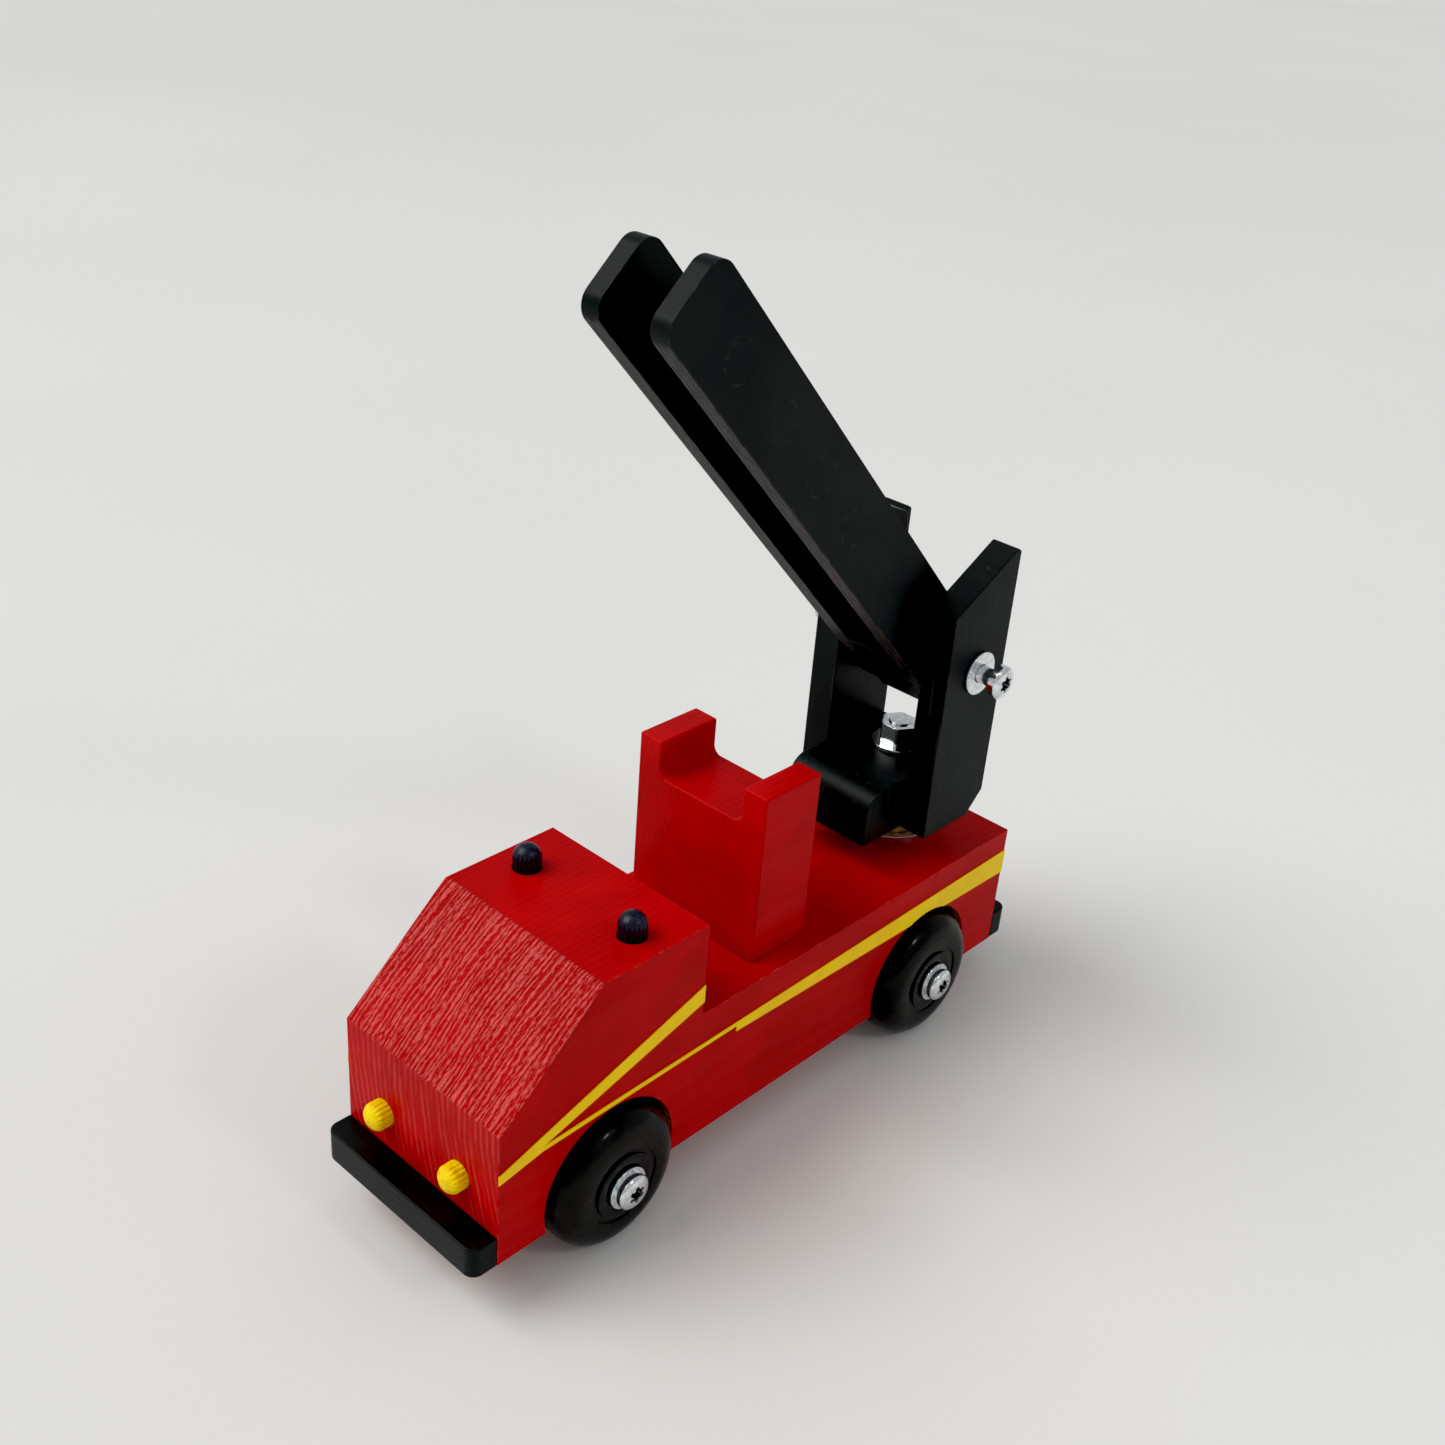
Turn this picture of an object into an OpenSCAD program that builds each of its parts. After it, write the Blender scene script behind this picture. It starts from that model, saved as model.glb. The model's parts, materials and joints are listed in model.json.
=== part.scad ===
// Wooden toy fire engine with a swivelling turret and a tilting ladder boom.
// The front of the engine faces -Y and +X is its left side.
// The origin is on the ground, under the middle of the bounding box.

/* [Body] */
// Width of the body block
body_w = 45; // [40:1:60]
// Length of the body block without its bumpers
body_len = 156; // [150:1:200]
// Height of the body's underside above the ground
ground_gap = 11; // [8:0.5:13]
// Height of the flat bed above the body's underside
bed_h = 31.5; // [28:0.5:36]
// Height of the cab roof above the body's underside
cab_h = 53; // [45:1:54]
// Length of the cab from the front face to its rear wall
cab_len = 52; // [48:1:56]
// Height of the upright front face
nose_h = 31; // [26:1:34]
// How far the sloped windscreen runs back
screen_run = 24; // [16:1:28]

/* [Bumpers] */
// Thickness of each bumper bar
bumper_t = 6; // [4:0.5:8]
// Height of each bumper bar
bumper_h = 7; // [6:0.5:9]
// Corner radius of the bumper bars
bumper_r = 2.5; // [1:0.25:3]

/* [Pegs] */
// Diameter of the grooved pegs used as headlights and beacons
peg_d = 6; // [5:0.5:7]
// How far a headlight stands out of the front face
headlight_out = 4; // [3:0.5:5]
// Height of the headlights above the body's underside
headlight_up = 14.9; // [13:0.1:17]
// Distance between the two headlights
headlight_gap = 22.6; // [18:0.2:26]
// How far a beacon stands out of the roof
beacon_out = 5.3; // [4:0.1:6]
// Distance between the two beacons
beacon_gap = 30; // [24:1:34]
// Distance of the beacons from the front face
beacon_back = 38.5; // [34:0.5:42]

/* [Wheels] */
// Wheel diameter
wheel_d = 31; // [28:0.5:32]
// Wheel width
wheel_w = 11.3; // [10:0.1:12]
// Height of the axles above the body's underside
axle_up = 4.5; // [4.5:0.5:6]
// Distance of the front axle from the front face
front_axle = 28.5; // [26:0.5:32]
// Distance of the rear axle from the front face
rear_axle = 126.5; // [120:0.5:128]
// Diameter of the wheel arches
arch_d = 34; // [33:0.5:35]
// Depth of the wheel arches into the sides
arch_depth = 8; // [7:0.5:10]

/* [Ladder rest] */
// Width of the upright board
rest_w = 35.4; // [32:0.2:38]
// Thickness of the upright board
rest_t = 16.5; // [12:0.5:18]
// Height of the prongs above the bed
rest_h = 39.4; // [36:0.2:40]
// Distance of the board from the front face
rest_back = 71.2; // [68:0.2:74]
// Width of the notch
notch_w = 22.8; // [22.4:0.2:24]
// Depth of the notch
notch_depth = 8.2; // [7:0.2:9]

/* [Turret] */
// Distance of the swivel axis from the front face
swivel_back = 138; // [136:0.5:142]
// Gap between the bed and the underside of the turret
turret_lift = 7.4; // [7:0.1:9]
// Thickness of each cheek
cheek_t = 7; // [6:0.5:8]
// Clear width between the cheeks
cheek_gap = 23; // [23:0.5:24]
// Depth of a cheek in front of the swivel axis
cheek_front = 11.2; // [10:0.2:12]
// Depth of a cheek behind the swivel axis
cheek_rear = 9.8; // [9:0.2:12]
// Height of the cheek's front edge
cheek_low = 54.9; // [50:0.1:58]
// Height of the cheek's peak
cheek_high = 66.4; // [60:0.1:70]
// Height of the block between the cheeks
block_h = 12.8; // [10:0.2:14]
// How far the block reaches in front of the swivel axis
block_front = 24.2; // [20:0.2:25]
// Radius of the block's upper front edge
block_round = 5; // [2:0.5:8]
// Height of the boom pivot above the turret's underside
pivot_up = 38.8; // [36:0.2:40]

/* [Boom] */
// Angle of the boom above the horizontal as stored
boom_raise = 46.5; // [10:0.5:80]
// Reach of the boom from its pivot to its tip
boom_len = 130; // [116:1:140]
// Depth of a rail
rail_h = 18; // [16:0.5:19]
// Thickness of a rail
rail_t = 4.3; // [4:0.1:5]
// Width of the boom over both rails
boom_w = 20.8; // [20:0.2:21]
// Corner radius of the rails
rail_r = 4; // [2:0.5:6]
// Reach of the rails behind the pivot
heel_len = 9; // [8:0.5:10]
// Distance from the pivot to the first rung
rung_start = 57; // [52:1:60]
// Spacing of the rungs
rung_pitch = 18; // [14:1:18]
// Diameter of the rungs
rung_d = 8; // [6:0.5:9]

/* [Hidden] */
$fn = 64;

red = [0.72, 0.03, 0.04];
black = [0.03, 0.03, 0.03];
yellow = [0.93, 0.80, 0.03];
navy = [0.02, 0.02, 0.10];
steel = [0.80, 0.82, 0.84];
bare_wood = [0.45, 0.30, 0.17];

// Clearance of a shaft that turns in a hole, of a glued or screwed fit, and between moving faces
run_gap = 0.08;
fix_gap = 0.02;
face_gap = 0.05;
// How far a cutter runs past the face that it opens
cut = 1;

// The front face sits so that both bumpers together are centred on Y = 0
front_y = -body_len / 2;
bed_z = ground_gap + bed_h;
roof_z = ground_gap + cab_h;
axle_z = ground_gap + axle_up;
axles_y = [front_y + front_axle, front_y + rear_axle];
headlight_z = ground_gap + headlight_up;
beacon_y = front_y + beacon_back;
rest_y = front_y + rest_back;
peg_sunk = 6;

// Grooved pegs: fine grooves along the sides, whose centres lie just outside the peg
groove_n = 18;
groove_r = 0.3;
groove_off = 0.1;
groove_fn = 24;
headlight_crown = 2;
beacon_crown = 2.8;

// Screws, washers and wheels on one side, measured along X from the middle
screw_r = 2;
screw_end = 4;
head_r = 3.8;
head_h = 2.6;
head_crown = 1.2;
lobe_n = 6;
lobe_r = 0.55;
lobe_at = 1.4;
lobe_depth = 1.3;
washer_r = 4.6;
washer_t = 0.8;
inner_washer_t = 1;
washer_slack = 0.15;
washer_hole_r = screw_r + washer_slack;
arch_floor = body_w / 2 - arch_depth;
wheel_in = arch_floor + inner_washer_t + face_gap;
wheel_out = wheel_in + wheel_w;
washer_in = wheel_out + face_gap;
head_in = washer_in + washer_t;

// Wheel section: flat inner face, round tread, domed shoulder and a raised hub
inner_round = 1.5;
shoulder_r = 5.2;
shoulder_drop = 4.6;
groove_out = 8.4;
groove_in = 7.4;
groove_depth = 0.3;
groove_slope = 0.3;
hub_out = 0.2;
arc_steps = 8;

// Swivel stack, from the bed up
swivel_y = front_y + swivel_back;
turret_z = bed_z + turret_lift;
bed_washer_r = 12;
bed_washer_t = 2;
disc_r = 10;
bolt_r = 2.5;
bolt_head_r = 4.2;
bolt_head_h = 3.5;
bolt_pocket_r = 5;
bolt_pocket_h = 5;
block_top = turret_z + block_h;
top_washer_r = 6;
top_washer_t = 1;
nut_af = 8;
nut_round = 8.8;
nut_h = 4.8;
bolt_over = 0.4;
top_washer_z = block_top + face_gap;
nut_z = top_washer_z + top_washer_t;

// Cheeks and boom
cheek_in = cheek_gap / 2;
cheek_out = cheek_in + cheek_t;
cheek_chamfer = 5;
peak_blunt = 1.3;
pivot_z = turret_z + pivot_up;
rail_out = boom_w / 2;
rail_in = rail_out - rail_t;
cheek_play = 0.1;
inner_pivot_washer_t = cheek_in - rail_out - cheek_play;
pivot_washer_r = 5;
pivot_washer_t = 0.9;
// Bare shank between a cheek's washer and the head of its pivot screw
pivot_head_gap = 4.2;
pivot_head_in = cheek_out + pivot_washer_t + pivot_head_gap;
pivot_screw_end = 2;
heel_block_len = 13.3;
rung_n = 4;
// Spacer block, from and to along the boom, and the peak of its tab above the rails
spacer_from = 31;
spacer_to = 50;
spacer_low = 1;
tab_at = 38.5;
tab_rise = 4.9;

// Corner radius at the bottom of the ladder rest's notch
notch_r = 2;

// Stripes on the sides, as heights above the body's underside
stripe_t = 0.25;
stripe_step = 62.5;
stripe_start_low = 19.9;
stripe_start_high = 22.1;
stripe_fork = 10.5;
stripe_fork_z = 22.9;
stripe_cab_low = 34.6;
stripe_cab_high = 38.8;
stripe_thin_low = 23.0;
stripe_thin_high = 23.9;
stripe_thick_low = 21.6;
stripe_crotch = 1.1;
stripe_rear_low = 19.7;
stripe_rear_high = 25.9;

function arc_point(cx, cy, rx, ry, a) = [cx + rx * cos(a), cy + ry * sin(a)];

// ---- helpers ----

// A child drawn along +Z is turned to point along +X or -X at the given side
module along_x(side, x, y, z)
    translate([side * x, y, z]) rotate([0, side * 90, 0]) children();

// Flat outline of a plate with round corners, from [0, 0]
module round_plate(w, d, r) {
    translate([r, 0]) square([w - 2 * r, d]);
    translate([0, r]) square([w, d - 2 * r]);
    for (x = [r, w - r], y = [r, d - r])
        translate([x, y]) circle(r);
}

module washer(r, t, hole_r)
    difference() {
        cylinder(h = t, r = r);
        translate([0, 0, -cut]) cylinder(h = t + 2 * cut, r = hole_r);
    }

// Pan-head screw whose head starts at z = 0 and whose shank runs down to -shank
module pan_screw(shank, r) {
    difference() {
        rotate_extrude()
            polygon(concat(
                [[0, 0], [head_r, 0], [head_r, head_h - head_crown]],
                [for (i = [1:arc_steps])
                    arc_point(0, head_h - head_crown, head_r, head_crown, 90 * i / arc_steps)]
            ));
        translate([0, 0, head_h - lobe_depth]) {
            cylinder(h = lobe_depth + cut, r = lobe_at);
            for (i = [0:lobe_n - 1])
                rotate(360 * i / lobe_n)
                    translate([lobe_at, 0, 0]) cylinder(h = lobe_depth + cut, r = lobe_r);
        }
    }
    translate([0, 0, -shank]) cylinder(h = shank + fix_gap, r = r);
}

// Grooved peg with a crowned end, sunk below z = 0 and standing out above it
module peg(out, crown) {
    straight = peg_sunk + out - crown;
    translate([0, 0, -peg_sunk])
        difference() {
            rotate_extrude()
                polygon(concat(
                    [[0, 0], [peg_d / 2, 0]],
                    [for (i = [0:arc_steps])
                        arc_point(0, straight, peg_d / 2, crown, 90 * i / arc_steps)]
                ));
            for (i = [0:groove_n - 1])
                rotate(360 * i / groove_n)
                    translate([peg_d / 2 + groove_off, 0, -cut])
                        cylinder(h = straight + crown + 2 * cut, r = groove_r, $fn = groove_fn);
        }
}

// ---- chassis ----

module body_side()
    polygon([
        [0, ground_gap], [body_len, ground_gap], [body_len, bed_z], [cab_len, bed_z],
        [cab_len, roof_z], [screen_run, roof_z], [0, ground_gap + nose_h]
    ]);

module arch_cutters(from, depth)
    for (side = [-1, 1], y = axles_y)
        along_x(side, from, y, axle_z) cylinder(h = depth, d = arch_d);

module body()
    color(red)
        difference() {
            translate([body_w / 2, front_y, 0])
                rotate([90, 0, -90]) mirror([1, 0, 0])
                    linear_extrude(body_w) body_side();
            arch_cutters(arch_floor, arch_depth + cut);
            for (side = [-1, 1], y = axles_y)
                along_x(side, screw_end, y, axle_z)
                    cylinder(h = body_w / 2, r = screw_r + fix_gap);
            for (side = [-1, 1]) {
                translate([side * headlight_gap / 2, front_y + peg_sunk, headlight_z])
                    rotate([90, 0, 0])
                        cylinder(h = peg_sunk + cut, r = peg_d / 2 + fix_gap);
                translate([side * beacon_gap / 2, beacon_y, roof_z - peg_sunk])
                    cylinder(h = peg_sunk + cut, r = peg_d / 2 + fix_gap);
            }
            translate([0, swivel_y, ground_gap - cut])
                cylinder(h = bed_h + 2 * cut, r = bolt_r + fix_gap);
            translate([0, swivel_y, ground_gap - cut])
                cylinder(h = bolt_pocket_h + cut, r = bolt_pocket_r);
        }

// Both stripes start together at the front corner; one climbs to the cab's rear edge
// and the other runs back along the bed and grows wider part of the way
module stripe_outline() {
    polygon([
        [0, ground_gap + stripe_start_low], [0, ground_gap + stripe_start_high],
        [cab_len, ground_gap + stripe_cab_high], [cab_len, ground_gap + stripe_cab_low],
        [stripe_fork, ground_gap + stripe_fork_z]
    ]);
    polygon([
        [0, ground_gap + stripe_start_low], [stripe_fork, ground_gap + stripe_fork_z],
        [stripe_step, ground_gap + stripe_thin_high], [body_len, ground_gap + stripe_rear_high],
        [body_len, ground_gap + stripe_rear_low], [stripe_step, ground_gap + stripe_thick_low],
        [stripe_step, ground_gap + stripe_thin_low],
        [stripe_fork, ground_gap + stripe_fork_z - stripe_crotch]
    ]);
}

module stripe(side)
    color(yellow)
        difference() {
            translate([side > 0 ? body_w / 2 + stripe_t : -body_w / 2, front_y, 0])
                rotate([90, 0, -90]) mirror([1, 0, 0])
                    linear_extrude(stripe_t) stripe_outline();
            arch_cutters(arch_floor, arch_depth + cut);
        }

module bumper()
    translate([-body_w / 2, 0, ground_gap])
        linear_extrude(bumper_h) {
            square([body_w, bumper_t - bumper_r]);
            translate([bumper_r, 0]) square([body_w - 2 * bumper_r, bumper_t]);
            for (x = [bumper_r, body_w - bumper_r])
                translate([x, bumper_t - bumper_r]) circle(bumper_r);
        }

module front_bumper()
    color(black) translate([0, front_y, 0]) mirror([0, 1, 0]) bumper();

module rear_bumper()
    color(black) translate([0, front_y + body_len, 0]) bumper();

// The notch is a round-cornered plate whose upper half runs out past the board's top
module ladder_rest()
    color(red)
        translate([-rest_w / 2, rest_y + rest_t, bed_z])
            rotate([90, 0, 0])
                linear_extrude(rest_t)
                    difference() {
                        square([rest_w, rest_h]);
                        translate([(rest_w - notch_w) / 2, rest_h - notch_depth])
                            round_plate(notch_w, 2 * notch_depth, notch_r);
                    }

module headlight(side)
    color(yellow)
        translate([side * headlight_gap / 2, front_y, headlight_z])
            rotate([90, 0, 0]) peg(headlight_out, headlight_crown);

module beacon(side)
    color(navy)
        translate([side * beacon_gap / 2, beacon_y, roof_z]) peg(beacon_out, beacon_crown);

// ---- wheels ----

module wheel(side, y) {
    r = wheel_d / 2;
    bore = screw_r + run_gap;
    dome_end = wheel_w - hub_out;
    color(black)
        along_x(side, wheel_in, y, axle_z)
            rotate_extrude()
                polygon(concat(
                    [[bore, 0]],
                    [for (i = [0:arc_steps / 2])
                        arc_point(r - inner_round, inner_round, inner_round, inner_round,
                                  -90 + 180 * i / arc_steps)],
                    [for (i = [0:arc_steps])
                        arc_point(r - shoulder_r, dome_end - shoulder_drop,
                                  shoulder_r, shoulder_drop, 90 * i / arc_steps)],
                    [
                        [groove_out, dome_end],
                        [groove_out - groove_slope, dome_end - groove_depth],
                        [groove_in, dome_end - groove_depth],
                        [groove_in - groove_slope, wheel_w], [bore, wheel_w]
                    ]
                ));
}

module wheel_screws()
    color(steel)
        for (side = [-1, 1], y = axles_y)
            along_x(side, head_in, y, axle_z) pan_screw(head_in - screw_end, screw_r);

module wheel_inner_washers()
    color(steel)
        for (side = [-1, 1], y = axles_y)
            along_x(side, arch_floor, y, axle_z)
                washer(washer_r, inner_washer_t, washer_hole_r);

module wheel_outer_washers()
    color(steel)
        for (side = [-1, 1], y = axles_y)
            along_x(side, washer_in, y, axle_z) washer(washer_r, washer_t, washer_hole_r);

// ---- swivel ----

module swivel_bolt() {
    shank_low = ground_gap + bolt_pocket_h;
    color(steel)
        translate([0, swivel_y, 0]) {
            translate([0, 0, shank_low])
                cylinder(h = nut_z + nut_h + bolt_over - shank_low, r = bolt_r);
            translate([0, 0, shank_low - bolt_head_h])
                cylinder(h = bolt_head_h, r = bolt_head_r);
        }
}

module swivel_bed_washer()
    color(steel)
        translate([0, swivel_y, bed_z])
            washer(bed_washer_r, bed_washer_t, bolt_r + fix_gap);

module swivel_top_washer()
    color(steel)
        translate([0, swivel_y, top_washer_z])
            washer(top_washer_r, top_washer_t, bolt_r + fix_gap);

module swivel_locknut()
    color(steel)
        translate([0, swivel_y, nut_z])
            difference() {
                intersection() {
                    cylinder(h = nut_h, d = nut_af / cos(30), $fn = 6);
                    cylinder(h = nut_h, d = nut_round);
                }
                translate([0, 0, -cut]) cylinder(h = nut_h + 2 * cut, r = bolt_r + fix_gap);
            }

// ---- turret ----

module turret_disc()
    color(bare_wood)
        translate([0, swivel_y, bed_z + bed_washer_t + face_gap])
            washer(disc_r, turret_lift - bed_washer_t - face_gap, bolt_r + run_gap);

// Side outline of the block between the cheeks, its upper front edge rounded
module block_side() {
    round_y = block_round - block_front;
    translate([-block_front, 0]) square([block_front + cheek_rear, block_h - block_round]);
    translate([round_y, 0]) square([cheek_rear - round_y, block_h]);
    translate([round_y, block_h - block_round]) circle(block_round);
}

module turret_block()
    color(black)
        difference() {
            translate([cheek_in, swivel_y, turret_z])
                rotate([90, 0, -90]) mirror([1, 0, 0])
                    linear_extrude(cheek_gap) block_side();
            translate([0, swivel_y, turret_z - cut])
                cylinder(h = block_h + 2 * cut, r = bolt_r + run_gap);
        }

module cheek(side)
    color(black)
        difference() {
            translate([side > 0 ? cheek_out : -cheek_in, swivel_y, turret_z])
                rotate([90, 0, -90]) mirror([1, 0, 0])
                    linear_extrude(cheek_t)
                        polygon([
                            [-cheek_front, 0], [cheek_rear - cheek_chamfer, 0],
                            [cheek_rear, cheek_chamfer],
                            [cheek_rear, cheek_high - peak_blunt],
                            [cheek_rear - peak_blunt, cheek_high - peak_blunt / 2],
                            [-cheek_front, cheek_low]
                        ]);
            along_x(side, cheek_in - cut, swivel_y, pivot_z)
                cylinder(h = cheek_t + 2 * cut, r = screw_r + run_gap);
        }

module pivot_outer_washers()
    color(steel)
        for (side = [-1, 1])
            along_x(side, cheek_out, swivel_y, pivot_z)
                washer(pivot_washer_r, pivot_washer_t, washer_hole_r);

// ---- boom ----

// Boom frame: the child's Y axis runs from the pivot towards the tip and Z is its upper side
module in_boom()
    translate([0, swivel_y, pivot_z]) rotate([-boom_raise, 0, 0]) mirror([0, 1, 0]) children();

// Cylinder across the boom from -X to +X
module across(y, r, half_w)
    translate([-half_w, y, 0]) rotate([0, 90, 0]) cylinder(h = 2 * half_w, r = r);

module boom_rail(side)
    color(black)
        in_boom()
            difference() {
                translate([side > 0 ? rail_out : -rail_in, 0, 0])
                    rotate([0, -90, 0])
                        linear_extrude(rail_t)
                            translate([-rail_h / 2, -heel_len])
                                round_plate(rail_h, boom_len + heel_len, rail_r);
                across(0, screw_r + fix_gap, rail_out + cut);
                for (i = [0:rung_n - 1])
                    across(rung_start + i * rung_pitch, rung_d / 2 + fix_gap, rail_out + cut);
            }

module heel_block()
    color(black)
        in_boom()
            difference() {
                translate([-rail_in, -heel_len, -rail_h / 2])
                    cube([2 * rail_in, heel_len + heel_block_len, rail_h]);
                for (side = [-1, 1])
                    along_x(side, pivot_screw_end, 0, 0)
                        cylinder(h = rail_in, r = screw_r + fix_gap);
            }

// Spacer block between the rails' upper halves, with a wedge-shaped finger tab above them
module boom_spacer()
    color(black)
        in_boom()
            translate([rail_in, 0, 0])
                rotate([0, -90, 0])
                    linear_extrude(2 * rail_in)
                        polygon([
                            [spacer_low, spacer_from], [rail_h / 2, spacer_from],
                            [rail_h / 2 + tab_rise, tab_at],
                            [rail_h / 2, spacer_to], [spacer_low, spacer_to]
                        ]);

module rung(i)
    color(black)
        in_boom() across(rung_start + (i - 1) * rung_pitch, rung_d / 2, rail_out);

module pivot_screws()
    color(steel)
        for (side = [-1, 1])
            along_x(side, pivot_head_in, swivel_y, pivot_z)
                pan_screw(pivot_head_in - pivot_screw_end, screw_r);

module pivot_inner_washers()
    color(steel)
        for (side = [-1, 1])
            along_x(side, rail_out, swivel_y, pivot_z)
                washer(washer_r, inner_pivot_washer_t, washer_hole_r);

body();
stripe(1);  // stripe_left
stripe(-1);  // stripe_right
front_bumper();
rear_bumper();
ladder_rest();
headlight(1);  // headlight_left
headlight(-1);  // headlight_right
beacon(1);  // beacon_left
beacon(-1);  // beacon_right
wheel(1, axles_y[0]);  // wheel_front_left
wheel(-1, axles_y[0]);  // wheel_front_right
wheel(1, axles_y[1]);  // wheel_rear_left
wheel(-1, axles_y[1]);  // wheel_rear_right
wheel_screws();
wheel_inner_washers();
wheel_outer_washers();
swivel_bolt();
swivel_bed_washer();
swivel_top_washer();
swivel_locknut();
turret_disc();
turret_block();
cheek(1);  // cheek_left
cheek(-1);  // cheek_right
pivot_outer_washers();
boom_rail(1);  // boom_rail_left
boom_rail(-1);  // boom_rail_right
heel_block();
boom_spacer();
rung(1);  // rung_1
rung(2);  // rung_2
rung(3);  // rung_3
rung(4);  // rung_4
pivot_screws();
pivot_inner_washers();
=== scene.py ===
"""Looks of a wooden toy fire engine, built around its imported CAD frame. Lengths are in metres."""
import json
import math

import bmesh
import bpy
from mathutils import Matrix, Vector, noise

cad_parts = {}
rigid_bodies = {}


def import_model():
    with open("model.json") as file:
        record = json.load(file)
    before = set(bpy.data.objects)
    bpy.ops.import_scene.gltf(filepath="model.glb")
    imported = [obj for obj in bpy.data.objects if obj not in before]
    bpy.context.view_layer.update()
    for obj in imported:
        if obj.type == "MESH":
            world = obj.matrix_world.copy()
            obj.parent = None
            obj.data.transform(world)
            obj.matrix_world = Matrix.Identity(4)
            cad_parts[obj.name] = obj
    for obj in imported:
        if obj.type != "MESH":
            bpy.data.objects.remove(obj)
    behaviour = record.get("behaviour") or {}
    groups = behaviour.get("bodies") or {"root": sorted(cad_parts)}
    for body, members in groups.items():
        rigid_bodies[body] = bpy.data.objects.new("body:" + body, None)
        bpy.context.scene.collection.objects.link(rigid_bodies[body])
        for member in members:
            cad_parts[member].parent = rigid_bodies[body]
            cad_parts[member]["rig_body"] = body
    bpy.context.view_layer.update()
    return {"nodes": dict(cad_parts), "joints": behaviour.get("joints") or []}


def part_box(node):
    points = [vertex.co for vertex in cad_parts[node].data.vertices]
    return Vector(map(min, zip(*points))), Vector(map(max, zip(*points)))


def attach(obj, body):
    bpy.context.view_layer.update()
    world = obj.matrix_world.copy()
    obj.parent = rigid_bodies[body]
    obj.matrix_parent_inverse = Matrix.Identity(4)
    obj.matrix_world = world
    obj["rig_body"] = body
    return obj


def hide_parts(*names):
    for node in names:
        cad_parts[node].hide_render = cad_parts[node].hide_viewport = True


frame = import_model()
NODES = frame["nodes"]
JOINTS = {joint["name"]: joint for joint in frame["joints"]}
MM = 0.001

# Places that the finishes depend on, read from the frame
BODY_LOW, BODY_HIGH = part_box("body")
PIVOT = Vector(JOINTS["boom_tilt"]["pos_m"])
AXLES = [Vector(joint["pos_m"]) for name, joint in JOINTS.items() if name.endswith("wheel_spin")]

# The windscreen runs from the top of the upright nose back to the roof
NOSE_HEIGHT = 31 * MM
ROOF_SETBACK = 24 * MM
NOSE_TOP = Vector((0, BODY_LOW.y, BODY_LOW.z + NOSE_HEIGHT))
ROOF_FRONT = Vector((0, BODY_LOW.y + ROOF_SETBACK, BODY_HIGH.z))
SCREEN_NORMAL = (ROOF_FRONT - NOSE_TOP).normalized().cross(Vector((1, 0, 0)))

# The timber's growth rings run round a line along the body, well beyond its left face. The
# saw raised closer ridges along them on the windscreen.
RING_X = 110 * MM
RING_Z = BODY_LOW.z + 36 * MM
RING_PITCH = 1.6 * MM
RIDGE_PITCH = 1.15 * MM

# The wheel arches are bare within this radius of an axle and this far out from the middle,
# which is just short of the body's painted sides
ARCH_RADIUS = 17.1 * MM
ARCH_REACH = 22.1 * MM
ARCH_FADE = 0.2 * MM

# The boom's own directions: along it towards the tip, and square to it on its upper side
BOOM_ANGLE = math.radians(46.5)
ALONG = Vector((0, -math.cos(BOOM_ANGLE), math.sin(BOOM_ANGLE)))
ACROSS = Vector((0, math.sin(BOOM_ANGLE), math.cos(BOOM_ANGLE)))
RAIL_HALF = 9 * MM


# ---- shader graphs ----

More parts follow.
